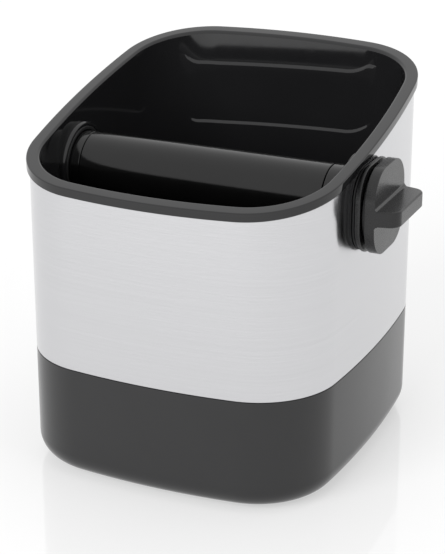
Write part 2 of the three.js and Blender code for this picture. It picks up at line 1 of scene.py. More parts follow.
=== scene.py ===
"""Espresso knock box with a steel band, a moulded tub and a knock bar that turns and pulls out sideways.

Metres, X to the right, Y to the back, Z up. The packed model is the fixed frame that every piece follows.
"""

import json
import math

import bmesh
import bpy
from mathutils import Matrix, Vector


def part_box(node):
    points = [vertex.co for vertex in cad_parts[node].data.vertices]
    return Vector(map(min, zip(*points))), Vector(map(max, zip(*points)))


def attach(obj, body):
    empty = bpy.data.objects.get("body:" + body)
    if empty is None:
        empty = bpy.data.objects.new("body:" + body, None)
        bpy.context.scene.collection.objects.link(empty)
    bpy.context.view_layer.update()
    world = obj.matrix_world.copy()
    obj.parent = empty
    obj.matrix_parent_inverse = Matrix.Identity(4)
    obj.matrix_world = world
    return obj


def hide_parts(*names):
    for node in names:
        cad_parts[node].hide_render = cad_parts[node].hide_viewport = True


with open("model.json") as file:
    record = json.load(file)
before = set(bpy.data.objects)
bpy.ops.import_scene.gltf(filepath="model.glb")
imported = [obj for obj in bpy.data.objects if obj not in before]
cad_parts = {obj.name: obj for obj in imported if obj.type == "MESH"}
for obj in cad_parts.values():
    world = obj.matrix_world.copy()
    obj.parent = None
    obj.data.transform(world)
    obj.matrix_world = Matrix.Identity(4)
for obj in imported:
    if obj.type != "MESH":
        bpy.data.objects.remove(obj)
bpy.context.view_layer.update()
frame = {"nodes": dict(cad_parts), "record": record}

bl_info = {
    "name": "Espresso knock box",
    "version": (1, 0, 0),
    "blender": (4, 5, 0),
    "location": "View3D > Sidebar > Knock box",
    "description": "Builds the visible pieces, finishes and studio of an espresso knock box",
    "category": "Add Mesh",
}

MM = 0.001
ROUND = 2 * math.pi
FIT = 0.3 * MM
# How far a cutter runs past the body that it cuts
OVERRUN = 5 * MM
# Points closer than this are one point
WELD = 0.001 * MM
# A place within this of a face is taken to lie on it
NEAR = 0.1 * MM

# Corners of the packed pieces
SLEEVE_LOW, SLEEVE_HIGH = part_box("outer_sleeve")
BASE_LOW, BASE_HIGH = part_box("base_shell")
BIN_LOW, BIN_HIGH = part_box("inner_bin")
LINER_LOW, LINER_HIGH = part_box("socket_liner")
COLLAR_LOW, COLLAR_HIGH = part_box("collar_ring")
NUT_LOW, NUT_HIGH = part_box("collar_nut")
RUBBER_LOW, RUBBER_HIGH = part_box("bar_rubber")
CAP_LOW, CAP_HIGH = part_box("bar_end_cap")
END_SCREW_LOW, END_SCREW_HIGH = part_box("bar_end_screw")
HUB_LOW, HUB_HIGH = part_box("bar_hub")
SEAL_LOW, SEAL_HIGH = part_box("face_seal")
KNOB_LOW, KNOB_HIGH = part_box("knob")
FOOT_LOW, FOOT_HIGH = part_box("foot_1")

# The bar's axis runs along X through this point
BAR_Y = (RUBBER_LOW.y + RUBBER_HIGH.y) / 2
BAR_Z = (RUBBER_LOW.z + RUBBER_HIGH.z) / 2
RIM_ANGLE = math.radians(11.75)


class KnockBoxPlan(bpy.types.PropertyGroup):
    """Plan outline shared by the band, the base and the tub"""

    width: bpy.props.FloatProperty(
        name="Width",
        description="Across the steel band",
        default=SLEEVE_HIGH.x - SLEEVE_LOW.x,
        unit="LENGTH",
    )
    depth: bpy.props.FloatProperty(
        name="Depth",
        description="Front to back of the band",
        default=SLEEVE_HIGH.y - SLEEVE_LOW.y,
        unit="LENGTH",
    )
    side_bow: bpy.props.FloatProperty(
        name="Side bow", description="How far a side bulges over its length", default=6.6 * MM, unit="LENGTH"
    )
    front_bow: bpy.props.FloatProperty(
        name="Front bow",
        description="How far the front bulges over its length",
        default=8.1 * MM,
        unit="LENGTH",
    )
    corner: bpy.props.FloatProperty(
        name="Corner radius", description="Radius of the four corners", default=35 * MM, unit="LENGTH"
    )


class KnockBoxShells(bpy.types.PropertyGroup):
    """Sizes of the band, the base and the tub"""

    rim_angle: bpy.props.FloatProperty(
        name="Rim slope", description="Climb of the rim to the back", default=RIM_ANGLE, subtype="ANGLE"
    )
    rim_height: bpy.props.FloatProperty(
        name="Rim height",
        description="Height of the rim plane above the middle of the base",
        default=BIN_HIGH.z - math.tan(RIM_ANGLE) * BIN_HIGH.y,
        unit="LENGTH",
    )
    rim_depth: bpy.props.FloatProperty(
        name="Rim depth", description="Height of the rim's side", default=3.5 * MM, unit="LENGTH"
    )
    rim_inside: bpy.props.FloatProperty(
        name="Rim inside", description="From the band to the rim's inner wall", default=4.3 * MM, unit="LENGTH"
    )
    base_fillet: bpy.props.FloatProperty(
        name="Base fillet", description="Radius of the base's lower edge", default=9.7 * MM, unit="LENGTH"
    )
    band_wall: bpy.props.FloatProperty(
        name="Band wall", description="Thickness of the steel", default=0.8 * MM, unit="LENGTH"
    )


class KnockBoxBar(bpy.types.PropertyGroup):
    """Sizes of the knock bar and its knob"""

    radius: bpy.props.FloatProperty(
        name="Bar radius", description="Outside of the rubber", default=14 * MM, unit="LENGTH"
    )
    knob_half: bpy.props.FloatProperty(
        name="Knob half width",
        description="Half the rounded square",
        default=(COLLAR_HIGH.y - COLLAR_LOW.y) / 2,
        unit="LENGTH",
    )
    knob_corner: bpy.props.FloatProperty(
        name="Knob corner", description="Radius of the rounded square", default=12.5 * MM, unit="LENGTH"
    )
    knob_thickness: bpy.props.FloatProperty(
        name="Knob thickness", description="Thickness of the knob's plate", default=4 * MM, unit="LENGTH"
    )
    wing_thickness: bpy.props.FloatProperty(
        name="Wing thickness", description="Height of the grip wing", default=6.5 * MM, unit="LENGTH"
    )
    wing_corner: bpy.props.FloatProperty(
        name="Wing corner",
        description="Radius of the wing's two outer corners",
        default=4.5 * MM,
        unit="LENGTH",
    )
    wing_taper: bpy.props.FloatProperty(
        name="Wing taper",
        description="Draw-in of each end of the wing",
        default=math.radians(12),
        subtype="ANGLE",
    )


class KnockBoxColours(bpy.types.PropertyGroup):
    """Finish colours as sRGB hex values"""

    steel: bpy.props.StringProperty(name="Steel", description="Brushed stainless band", default="#CFCFD1")
    base: bpy.props.StringProperty(name="Base", description="Satin moulded base", default="#202021")
    tub: bpy.props.StringProperty(name="Tub", description="Glossy moulded tub", default="#1B1B1C")
    knob: bpy.props.StringProperty(name="Knob", description="Satin knob and collar", default="#0E0E0F")
    bar: bpy.props.StringProperty(name="Bar", description="Rubber of the bar", default="#090909")
    seal: bpy.props.StringProperty(name="Seals", description="Feet, seal and gasket", default="#141415")
    screw: bpy.props.StringProperty(name="Screws", description="Plated screws", default="#BDBEC1")


def plan():
    return bpy.context.scene.knock_box_plan


def shells():
    return bpy.context.scene.knock_box_shells


def bar():
    return bpy.context.scene.knock_box_bar


def colours():
    return bpy.context.scene.knock_box_colours


# Shape helpers
def plan_arcs():
    """Centre, turn and steps of the arcs from the middle of the right side to the middle of the back."""
    p = plan()
    half_width, half_depth = p.width / 2, p.depth / 2
    side_radius = (half_depth**2 + p.side_bow**2) / (2 * p.side_bow)
    front_radius = (half_width**2 + p.front_bow**2) / (2 * p.front_bow)
    side_centre = Vector((half_width - side_radius, 0, 0))
    front_centre = Vector((0, half_depth - front_radius, 0))
    between = front_centre - side_centre
    to_side, to_front = side_radius - p.corner, front_radius - p.corner
    along = (between.length_squared + to_side**2 - to_front**2) / (2 * between.length)
    across = math.sqrt(to_side**2 - along**2)
    way = between.normalized()
    corner_centre = side_centre + way * along + Vector((-way.y, way.x, 0)) * across
    side_end = math.atan2(*(corner_centre - side_centre).yx)
    front_start = math.atan2(*(corner_centre - front_centre).yx)
    return [
        (side_centre, side_end, 14),
        (corner_centre, front_start - side_end, 30),
        (front_centre, math.pi / 2 - front_start, 14),
    ]


def face_outwards(bm):
    bmesh.ops.recalc_face_normals(bm, faces=bm.faces)
    if bm.calc_volume(signed=True) < 0:
        bmesh.ops.reverse_faces(bm, faces=bm.faces)


def outward(at, arcs):
    """Level direction square to the plan outline at a place."""
    x, y, turned_by = abs(at.x), abs(at.y), 0
    for centre, turn, _ in arcs:
        turned_by += turn
        way = math.atan2(y - centre.y, x - centre.x)
        if way < turned_by + 0.001:
            break
    return Vector((math.copysign(math.cos(way), at.x), math.copysign(math.sin(way), at.y), 0))


def outline_loop(bm, height):
    """One closed level loop of edges on the plan outline."""
    old_verts, old_edges = set(bm.verts), set(bm.edges)
    tip = bm.verts.new((plan().width / 2, 0, 0))
    for centre, turn, steps in plan_arcs():
        arc = bmesh.ops.spin(bm, geom=[tip], cent=centre, axis=(0, 0, 1), angle=turn, steps=steps)
        tip = arc["geom_last"][0]
    for axis in "XY":
        fresh = [v for v in bm.verts if v not in old_verts] + [e for e in bm.edges if e not in old_edges]
        bmesh.ops.mirror(bm, geom=fresh, matrix=Matrix.Identity(4), merge_dist=0.01 * MM, axis=axis)
    fresh = [v for v in bm.verts if v not in old_verts]
    bmesh.ops.translate(bm, vec=(0, 0, height), verts=fresh)
    return [e for e in bm.edges if e not in old_edges]


def skin(rings, rounds=(), closed=False):
    """A closed body over a stack of rings, with rounds given as (ring, radius, segments).

    A ring gives how far it stands outside the plan outline, as a number or a function of the place and the
    outward direction, and its height as a function of the place.
    """
    bm = bmesh.new()
    # Rings are bridged well apart, as two in one plane may be joined crosswise, and then moved to their places
    loops = [outline_loop(bm, number * plan().depth) for number in range(len(rings))]
    for lower, upper in zip(loops, loops[1:] + loops[:1] if closed else loops[1:]):
        bmesh.ops.bridge_loops(bm, edges=lower + upper)
    if not closed:
        bmesh.ops.edgeloop_fill(bm, edges=loops[0])
        bmesh.ops.edgeloop_fill(bm, edges=loops[-1])
    arcs = plan_arcs()
    for loop, (grow, height_at) in zip(loops, rings):
        for v in {v for e in loop for v in e.verts}:
            way = outward(v.co, arcs)
            v.co.z = height_at(v.co)
            v.co += way * (grow(v.co, way) if callable(grow) else grow)
            v.co.z = height_at(v.co)
    face_outwards(bm)
    for index, radius, segments in rounds:
        round_edges(bm, loops[index], radius, segments)
    return bm


def round_edges(bm, edges, radius, segments=3):
    bmesh.ops.bevel(
        bm,
        geom=[e for e in edges if e.is_valid],
        offset=radius,
        offset_type="OFFSET",
        affect="EDGES",
        segments=segments,
        profile=0.5,
        material=-1,
        clamp_overlap=True,
    )


def sharp_edges(bm, wanted=lambda middle: True, limit=math.radians(35)):
    """Edges that fold by more than limit and whose middle is wanted."""
    bm.normal_update()
    return [
        e
        for e in bm.edges
        if len(e.link_faces) == 2
        and abs(e.calc_face_angle_signed(0)) > limit
        and wanted((e.verts[0].co + e.verts[1].co) / 2)
    ]


def level(height):
    return lambda at: height


def under_rim(drop):
    s = shells()
    return lambda at: s.rim_height + math.tan(s.rim_angle) * at.y - drop


def ledge(height, drop):
    """Height of a ledge that climbs a little to the right, turns up at both ends and stays below the rim."""
    below, left, right = under_rim(drop), -43 * MM, 27 * MM

    def height_at(at):
        climb = 0.045 * max(0, at.x + 34 * MM)
        ends = 100 * max(0, left - at.x) ** 2 + 33 * max(0, at.x - right) ** 2
        return min(height + climb + ends, below(at))

    return height_at


def drafted(draft, start):
    """A ring on a wall that leans in by the draft from the rim's inner edge down."""
    top = under_rim(0)
    return lambda at, way: start - math.tan(draft) * (top(at) - at.z)


def on_long_walls(grow, side_grow):
    """A ring's place on the front and back walls that fades to the side walls' own one round the corners."""

    def place(at, way):
        low, high = (0.95, 0.99) if at.x > 0 else (0.8, 0.95)
        share = min(1, max(0, (abs(way.y) - low) / (high - low)))
        here = grow(at, way) if callable(grow) else grow
        aside = side_grow(at, way)
        return aside + (here - aside) * share * share * (3 - 2 * share)

    return place


def turned(profile, steps=96, upright_at=None):
    """A profile of (along, radius) pairs turned about the bar's axis, or about an upright axis at (x, y)."""
    bm = bmesh.new()
    if upright_at:
        x, y = upright_at
        centre, axis = (x, y, 0), (0, 0, 1)
        verts = [bm.verts.new((x + radius, y, along)) for along, radius in profile]
    else:
        centre, axis = (0, BAR_Y, BAR_Z), (1, 0, 0)
        verts = [bm.verts.new((along, BAR_Y, BAR_Z + radius)) for along, radius in profile]
    edges = [bm.edges.new(pair) for pair in zip(verts, verts[1:])]
    bmesh.ops.spin(bm, geom=verts + edges, cent=centre, axis=axis, angle=ROUND, steps=steps, use_merge=True)
    bmesh.ops.remove_doubles(bm, verts=bm.verts, dist=WELD)
    bmesh.ops.dissolve_degenerate(bm, edges=bm.edges, dist=0.0005 * MM)
    face_outwards(bm)
    return bm


def disk_on_bar(radius, start, end, steps=96):
    return turned([(start, 0), (start, radius), (end, radius), (end, 0)], steps)


def disk_upright(radius, low, high, place, steps=48):
    return turned([(low, 0), (low, radius), (high, radius), (high, 0)], steps, place)


def block(low, high):
    """A plain box between two corners, as a cutter or the start of a shape."""
    bm = bmesh.new()
    bmesh.ops.create_cube(bm, size=1)
    low, high = Vector(low), Vector(high)
    bmesh.ops.scale(bm, vec=high - low, verts=bm.verts)
    bmesh.ops.translate(bm, vec=(low + high) / 2, verts=bm.verts)
    return bm


def rounded_square(half, corner, start, end, segments=12):
    """A rounded square about the bar's axis, filled from one X to another."""
    bm = bmesh.new()
    bmesh.ops.create_grid(bm, x_segments=1, y_segments=1, size=half)
    bmesh.ops.bevel(
        bm,
        geom=bm.verts[:],
        offset=corner,
        offset_type="OFFSET",
        affect="VERTICES",
        segments=segments,
        profile=0.5,
        material=-1,
    )
    bmesh.ops.rotate(bm, matrix=Matrix.Rotation(math.pi / 2, 3, "Y"), verts=bm.verts)
    bmesh.ops.translate(bm, vec=(start, BAR_Y, BAR_Z), verts=bm.verts)
    grown = bmesh.ops.extrude_face_region(bm, geom=bm.faces[:])
    moved = [g for g in grown["geom"] if isinstance(g, bmesh.types.BMVert)]
    bmesh.ops.translate(bm, vec=(end - start, 0, 0), verts=moved)
    face_outwards(bm)
    return bm


def sector(inner, outer, first, turn, start, end):
    """A block of a ring about the bar's axis. Angles run from +Y towards +Z."""
    bm = bmesh.new()
    along_y, along_z = math.cos(first), math.sin(first)
    corners = [(start, inner), (start, outer), (end, outer), (end, inner)]
    verts = [bm.verts.new((x, BAR_Y + r * along_y, BAR_Z + r * along_z)) for x, r in corners]
    face = bm.faces.new(verts)
    steps = max(3, round(math.degrees(turn) / 4))
    swept = bmesh.ops.spin(
        bm, geom=[face], cent=(0, BAR_Y, BAR_Z), axis=(1, 0, 0), angle=turn, steps=steps, use_merge=False
    )
    bmesh.ops.remove_doubles(bm, verts=bm.verts, dist=WELD)
    if not any(isinstance(g, bmesh.types.BMFace) for g in swept["geom_last"]):
        bmesh.ops.holes_fill(bm, edges=bm.edges)
    face_outwards(bm)
    return bm


def scratch_object(bm, name):
    mesh = bpy.data.meshes.new(name)
    bm.to_mesh(mesh)
    bm.free()
    obj = bpy.data.objects.new(name, mesh)
    bpy.context.scene.collection.objects.link(obj)
    return obj


def combine(bm, others, operation):
    """Joins or cuts bodies one after another and gives the result as a new bmesh."""
    base = scratch_object(bm, "blank")
    tools = [scratch_object(other, "tool") for other in others]
    for tool in tools:
        step = base.modifiers.new("step", "BOOLEAN")
        step.object = tool
        step.operation = operation
        step.solver = "EXACT"
    result = bmesh.new()
    result.from_object(base, bpy.context.evaluated_depsgraph_get())
    for obj in [base, *tools]:
        mesh = obj.data
        bpy.data.objects.remove(obj)
        bpy.data.meshes.remove(mesh)
    bmesh.ops.remove_doubles(result, verts=result.verts, dist=WELD)
    return result


def cut(bm, cutters):
    return combine(bm, cutters, "DIFFERENCE")


def join(bm, others):
    return combine(bm, others, "UNION")


def add_piece(bm, name, body, material, stands_for, crease=math.radians(32)):
    """Turns a finished bmesh into a piece that rides on a body and stands for CAD nodes."""
    bm.normal_update()
    for face in bm.faces:
        face.smooth = True
    for edge in bm.edges:
        edge.smooth = len(edge.link_faces) == 2 and edge.calc_face_angle(0) < crease
    obj = scratch_object(bm, name)
    obj.data.materials.append(material)
    shading = obj.modifiers.new("even_shading", "WEIGHTED_NORMAL")
    shading.keep_sharp = True
    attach(obj, body)
    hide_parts(*stands_for)
    return obj


# Material helpers
def linear(hex_colour):
    """Linear RGBA of an sRGB hex value."""
    channels = [int(hex_colour[i : i + 2], 16) / 255 for i in (1, 3, 5)]
    return (*(c / 12.92 if c <= 0.04045 else ((c + 0.055) / 1.055) ** 2.4 for c in channels), 1)


def add_node(tree, kind, inputs=(), **settings):
    """Adds a node with its settings, and with sockets set to a value or linked to an output."""
    node = tree.nodes.new(kind)
    for name, value in settings.items():
        setattr(node, name, value)
    for name, value in dict(inputs).items():
        if isinstance(value, bpy.types.NodeSocket):
            tree.links.new(value, node.inputs[name])
        else:
            node.inputs[name].default_value = value
    return node


def start_material(name):
    """An emptied material with its shader and output, ready for its pattern."""
    material = bpy.data.materials.new(name)
    material.use_nodes = True
    tree = material.node_tree
    tree.nodes.clear()
    shader = add_node(tree, "ShaderNodeBsdfPrincipled")
    add_node(tree, "ShaderNodeOutputMaterial", {"Surface": shader.outputs["BSDF"]})
    return material, tree, shader


def grain(tree, size, stretch=(1, 1, 1), detail=2.0, roughness=0.5):
    """Noise on object coordinates whose grain is size metres across, longer where stretch is larger."""
    place = add_node(tree, "ShaderNodeTexCoord")
    scale = [1 / (size * s) for s in stretch]
    mapped = add_node(tree, "ShaderNodeMapping", {"Vector": place.outputs["Object"], "Scale": scale})
    return add_node(
        tree,
        "ShaderNodeTexNoise",
        {"Vector": mapped.outputs["Vector"], "Scale": 1.0, "Detail": detail, "Roughness": roughness},
    ).outputs["Fac"]


def spread(tree, value, low, high, from_low=0.3, from_high=0.7):
    """The value's middle range mapped to low and high."""
    return add_node(
        tree,
        "ShaderNodeMapRange",
        {"Value": value, "From Min": from_low, "From Max": from_high, "To Min": low, "To Max": high},
    ).outputs["Result"]


def shade_between(tree, value, first, second):
    return add_node(
        tree, "ShaderNodeMix", {"Factor": value, "A": first, "B": second}, data_type="RGBA"
    ).outputs["Result"]


def brushed_stainless():
    """Stainless sheet, belt-brushed along its length: long level scratches that stretch lights upright."""
    material, tree, shader = start_material("brushed_stainless")
    colour = linear(colours().steel)
    # Belt scratches are about 0.1 mm apart; they are drawn 0.45 mm apart so that the render shows them
    scratches = grain(tree, 0.45 * MM, stretch=(400, 400, 1), detail=3.0, roughness=0.6)
    # Ripples where the belt bites deeper, some 8 mm long, make the lights' upright edges ragged
    ripples = grain(tree, 0.9 * MM, stretch=(9, 9, 1), detail=2.0)
    # Broader passes of the belt, some 6 mm high
    passes = grain(tree, 6 * MM, stretch=(30, 30, 1))
    tone = shade_between(tree, spread(tree, scratches, 0, 1), [0.96 * c for c in colour[:3]] + [1], colour)
    wear = add_node(
        tree, "ShaderNodeMath", {0: spread(tree, scratches, 0.19, 0.25), 1: spread(tree, passes, -0.01, 0.01)}
    )
    bump = add_node(tree, "ShaderNodeBump", {"Strength": 1.0, "Distance": 0.05 * MM, "Height": ripples})
    turned_along = add_node(tree, "ShaderNodeTangent", direction_type="RADIAL", axis="Z")
    tree.links.new(tone, shader.inputs["Base Color"])
    tree.links.new(wear.outputs[0], shader.inputs["Roughness"])
    tree.links.new(bump.outputs["Normal"], shader.inputs["Normal"])
    tree.links.new(turned_along.outputs["Tangent"], shader.inputs["Tangent"])
    shader.inputs["Metallic"].default_value = 1
    shader.inputs["Anisotropic"].default_value = 0.75
    shader.inputs["Anisotropic Rotation"].default_value = 0.25
    return material


def moulded_plastic(name, hex_colour, roughness, grit, bump_height):
    """Injection-moulded ABS: its sheen comes from the tool's finish, which the grit size gives."""
    material, tree, shader = start_material(name)
    colour = linear(hex_colour)
    fine = grain(tree, grit, detail=3.0)
    broad = grain(tree, 30 * MM)
    tone = shade_between(tree, spread(tree, broad, 0, 1), [0.88 * c for c in colour[:3]] + [1], colour)
    gloss = add_node(
        tree,
        "ShaderNodeMath",
        {
            0: spread(tree, fine, 0.8 * roughness, 1.2 * roughness),
            1: spread(tree, broad, -0.1 * roughness, 0.1 * roughness),
        },
    )
    bump = add_node(tree, "ShaderNodeBump", {"Strength": 0.2, "Distance": bump_height, "Height": fine})
    tree.links.new(tone, shader.inputs["Base Color"])
    tree.links.new(gloss.outputs[0], shader.inputs["Roughness"])
    tree.links.new(bump.outputs["Normal"], shader.inputs["Normal"])
    shader.inputs["IOR"].default_value = 1.5
    return material


def satin_base():
    """ABS from a spark-eroded tool: an even satin that still mirrors the studio softly."""
    return moulded_plastic("spark_eroded_abs_base", colours().base, 0.2, 0.5 * MM, 0.006 * MM)


def satin_knob():
    """ABS from a vapour-blasted tool: a little softer than the base where fingers turn it."""
    return moulded_plastic("vapour_blasted_abs_knob", colours().knob, 0.26, 0.45 * MM, 0.01 * MM)


def glossy_ends():
    """ABS from a polished tool: cap and hub carry on the shine of the bar's rubber."""
    return moulded_plastic("polished_abs_bar_ends", colours().bar, 0.13, 0.5 * MM, 0.001 * MM)


def glossy_tub():
    """ABS from a polished tool: deep black gloss, with edges that catch thin bright lines."""
    return moulded_plastic("polished_abs_tub", colours().tub, 0.06, 4 * MM, 0.0005 * MM)


def moulded_rubber(name, hex_colour, roughness, grit):
    """Compression-moulded rubber: dark, even and a little waxy, with a soft broad highlight."""
    material, tree, shader = start_material(name)
    colour = linear(hex_colour)
    fine = grain(tree, grit, detail=4.0, roughness=0.6)
    broad = grain(tree, 18 * MM)
    tone = shade_between(tree, spread(tree, broad, 0, 1), [0.85 * c for c in colour[:3]] + [1], colour)
    bump = add_node(tree, "ShaderNodeBump", {"Strength": 0.15, "Distance": 0.01 * MM, "Height": fine})
    tree.links.new(tone, shader.inputs["Base Color"])
    tree.links.new(spread(tree, fine, roughness - 0.05, roughness + 0.05), shader.inputs["Roughness"])
    tree.links.new(bump.outputs["Normal"], shader.inputs["Normal"])
    shader.inputs["IOR"].default_value = 1.48
    return material


def bar_rubber():
    """EPDM sleeve, moulded and buffed smooth: semi-gloss."""
    return moulded_rubber("buffed_epdm_sleeve", colours().bar, 0.14, 0.6 * MM)


def seal_rubber():
    """Nitrile rubber of feet, liner, seal and gasket: matt."""
    return moulded_rubber("matt_nitrile_rubber", colours().seal, 0.55, 0.5 * MM)


def plated_steel():
    """Nickel-plated steel, turned: bright, with faint rings round the axis."""
    material, tree, shader = start_material("nickel_plated_steel")
    fine = grain(tree, 0.3 * MM, detail=3.0)
    colour = linear(colours().screw)
    tone = shade_between(tree, spread(tree, fine, 0, 1), [0.9 * c for c in colour[:3]] + [1], colour)
    tree.links.new(tone, shader.inputs["Base Color"])
    tree.links.new(spread(tree, fine, 0.18, 0.32), shader.inputs["Roughness"])
    shader.inputs["Metallic"].default_value = 1
    return material


MAKERS = {
    "brushed_steel": brushed_stainless,
    "base_plastic": satin_base,
    "bin_plastic": glossy_tub,
    "knob_plastic": satin_knob,
    "bar_ends": glossy_ends,
    "bar_rubber": bar_rubber,
    "soft_rubber": seal_rubber,
    "screw_steel": plated_steel,
}
made_materials = {}


def finish_of(slot):
    """The material of a record slot, or of the bar's two ends, made once."""
    if slot not in made_materials:
        made_materials[slot] = MAKERS[slot]()
    return made_materials[slot]


# Places shared by several pieces
COLLAR_FACE = COLLAR_HIGH.x
NUT_FACE = NUT_LOW.x
KNOB_BACK = SEAL_HIGH.x + FIT
FOOT_PLACES = [
    ((low.x + high.x) / 2, (low.y + high.y) / 2) for low, high in (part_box(f"foot_{i}") for i in range(1, 5))
]
BOSS_FACE = LINER_HIGH.x - 0.2 * MM
LINER_RADIUS = (LINER_HIGH.z - LINER_LOW.z) / 2
BOSS_RADIUS = LINER_RADIUS + FIT + 1.6 * MM
RUNNING_FIT = 0.4 * MM


def hub_radius():
    return bar().radius + 0.1 * MM


def collar_bore():
    return hub_radius() + RUNNING_FIT


def collar_hole():
    """Radius of the hole through band and tub that takes the collar's tube."""
    return collar_bore() + 1.7 * MM + FIT


class KNOCKBOX_OT_band(bpy.types.Operator):
    """Brushed steel band between the base and the rim"""

    bl_idname = "knockbox.band"
    bl_label = "Steel band"

    def execute(self, context):
        s = shells()
        bottom, top = level(SLEEVE_LOW.z), under_rim(s.rim_depth + FIT)
        rings = [(0, bottom), (0, top), (-s.band_wall, top), (-s.band_wall, bottom)]
        bm = skin(rings, [(0, 0.2 * MM, 2), (1, 0.2 * MM, 2)], closed=True)
        bm = cut(bm, [disk_on_bar(collar_hole(), plan().width / 4, plan().width)])
        add_piece(bm, "steel_band", "box", finish_of("brushed_steel"), ["outer_sleeve"])
        return {"FINISHED"}


class KNOCKBOX_OT_base(bpy.types.Operator):
    """Moulded base cup with its round lower edge, tongue, foot recesses and screw posts"""

    bl_idname = "knockbox.base"
    bl_label = "Base cup"

    def execute(self, context):
        s = shells()
        wall = 3 * MM
        shoulder = SLEEVE_LOW.z - FIT
        tongue_out, tongue_in = -s.band_wall - FIT, -s.band_wall - FIT - 1.5 * MM
        tongue_top = BASE_HIGH.z
        rings = [
            (0, level(0)),
            (0, level(shoulder)),
            (tongue_out, level(shoulder)),
            (tongue_out, level(tongue_top)),
            (tongue_in, level(tongue_top)),
            (tongue_in, level(shoulder)),
            (-wall, level(shoulder - 1.5 * MM)),
            (-wall, level(wall)),
        ]
        rounds = [(0, s.base_fillet, 14), (1, 0.35 * MM, 3), (3, 0.3 * MM, 2), (7, s.base_fillet - wall, 8)]
        bm = skin(rings, rounds)
        post_top, seat = 6.8 * MM, 4.8 * MM
        bm = join(bm, [disk_upright(6.5 * MM, wall - FIT, post_top, place) for place in FOOT_PLACES])
        foot_radius = (FOOT_HIGH.x - FOOT_LOW.x) / 2
        cutters = []
        for place in FOOT_PLACES:
            cutters.append(disk_upright(foot_radius + FIT, -OVERRUN, 1.2 * MM, place))
            cutters.append(disk_upright(3.4 * MM, 0, seat, place))
            cutters.append(disk_upright(1.9 * MM, 0, post_top + OVERRUN, place))
        bm = cut(bm, cutters)
        add_piece(bm, "base_cup", "box", finish_of("base_plastic"), ["base_shell"])
        return {"FINISHED"}


class KNOCKBOX_OT_tub(bpy.types.Operator):
    """Glossy tub with its sloping rim, flare, ledges, left boss and right pad"""

    bl_idname = "knockbox.tub"
    bl_label = "Inner tub"

    def execute(self, context):
        s = shells()
        wall, floor = 2.8 * MM, 19 * MM
        middle, lower, foot = -s.rim_inside - 1.15 * MM, -s.rim_inside - 1.85 * MM, -s.rim_inside - 4.3 * MM
        flare = drafted(math.radians(2.4), -s.rim_inside)
        side = drafted(math.radians(2.1), -s.rim_inside)
        overhang = BIN_HIGH.x - SLEEVE_HIGH.x
        rings = [
            (foot + wall, level(floor - wall)),
            (-s.rim_inside + wall, under_rim(s.rim_depth)),
            (overhang, under_rim(s.rim_depth)),
            (overhang, under_rim(0)),
            (-s.rim_inside, under_rim(0)),
            (on_long_walls(flare, side), ledge(142.2 * MM, 7.1 * MM)),
            (on_long_walls(middle, side), ledge(141.3 * MM, 8.1 * MM)),
            (on_long_walls(middle, side), ledge(114.9 * MM, 10 * MM)),
            (on_long_walls(lower, side), ledge(113.7 * MM, 11.2 * MM)),
            (foot, level(floor)),
        ]
        rounds = [
            (0, 12 * MM, 6),
            (2, 0.2 * MM, 2),
            (3, 0.5 * MM, 3),
            (4, 1.2 * MM, 5),
            (5, 0.15 * MM, 2),
            (6, 1.1 * MM, 7),
            (7, 0.15 * MM, 2),
            (8, 0.2 * MM, 2),
            (9, 10 * MM, 8),
        ]
        bm = skin(rings, rounds)
        boss = self.arch(BOSS_RADIUS, floor + 10 * MM, BOSS_FACE - 3.9 * MM, BOSS_FACE)
        back = disk_on_bar(BOSS_RADIUS, LINER_LOW.x - 1.5 * MM, BOSS_FACE - 3 * MM)
        pad = disk_on_bar(collar_hole() + 3 * MM, NUT_FACE, NUT_FACE + 4.7 * MM)
        round_edges(pad, sharp_edges(pad, lambda at: at.x < NUT_FACE + NEAR), 0.2 * MM, 2)
        bm = join(bm, [boss, back, pad])
        nut_depth = NUT_HIGH.x - NUT_LOW.x + FIT
        # Known fault: cut after the hole, the nut's recess leaves a thin disc across it
        cutters = [
            disk_on_bar(LINER_RADIUS + FIT, LINER_LOW.x - FIT, BOSS_FACE + OVERRUN),
            disk_on_bar(collar_hole(), NUT_FACE - OVERRUN, NUT_FACE + 2 * OVERRUN),
            disk_on_bar(collar_hole() + 2.4 * MM, NUT_FACE - OVERRUN, NUT_FACE + nut_depth),
        ]
        bm = cut(bm, cutters)
        add_piece(bm, "moulded_tub", "box", finish_of("bin_plastic"), ["inner_bin"])
        return {"FINISHED"}

    def arch(self, radius, foot, start, end):
        """An arch-topped boss about the bar's axis, with a round along its front edge."""
        bm = bmesh.new()
        left = bm.verts.new((start, BAR_Y - radius, foot))
        right = bm.verts.new((start, BAR_Y + radius, foot))
        shoulder = bm.verts.new((start, BAR_Y + radius, BAR_Z))
        bm.edges.new((left, right))
        bm.edges.new((right, shoulder))
        top = bmesh.ops.spin(
            bm, geom=[shoulder], cent=(start, BAR_Y, BAR_Z), axis=(1, 0, 0), angle=math.pi, steps=40
        )
        bm.edges.new((top["geom_last"][0], left))
        bmesh.ops.edgeloop_fill(bm, edges=bm.edges[:])
        grown = bmesh.ops.extrude_face_region(bm, geom=bm.faces[:])
        moved = [g for g in grown["geom"] if isinstance(g, bmesh.types.BMVert)]
        bmesh.ops.translate(bm, vec=(end - start, 0, 0), verts=moved)
        face_outwards(bm)
        round_edges(bm, sharp_edges(bm, lambda at: at.x > end - NEAR), 1.3 * MM, 5)
        return bm


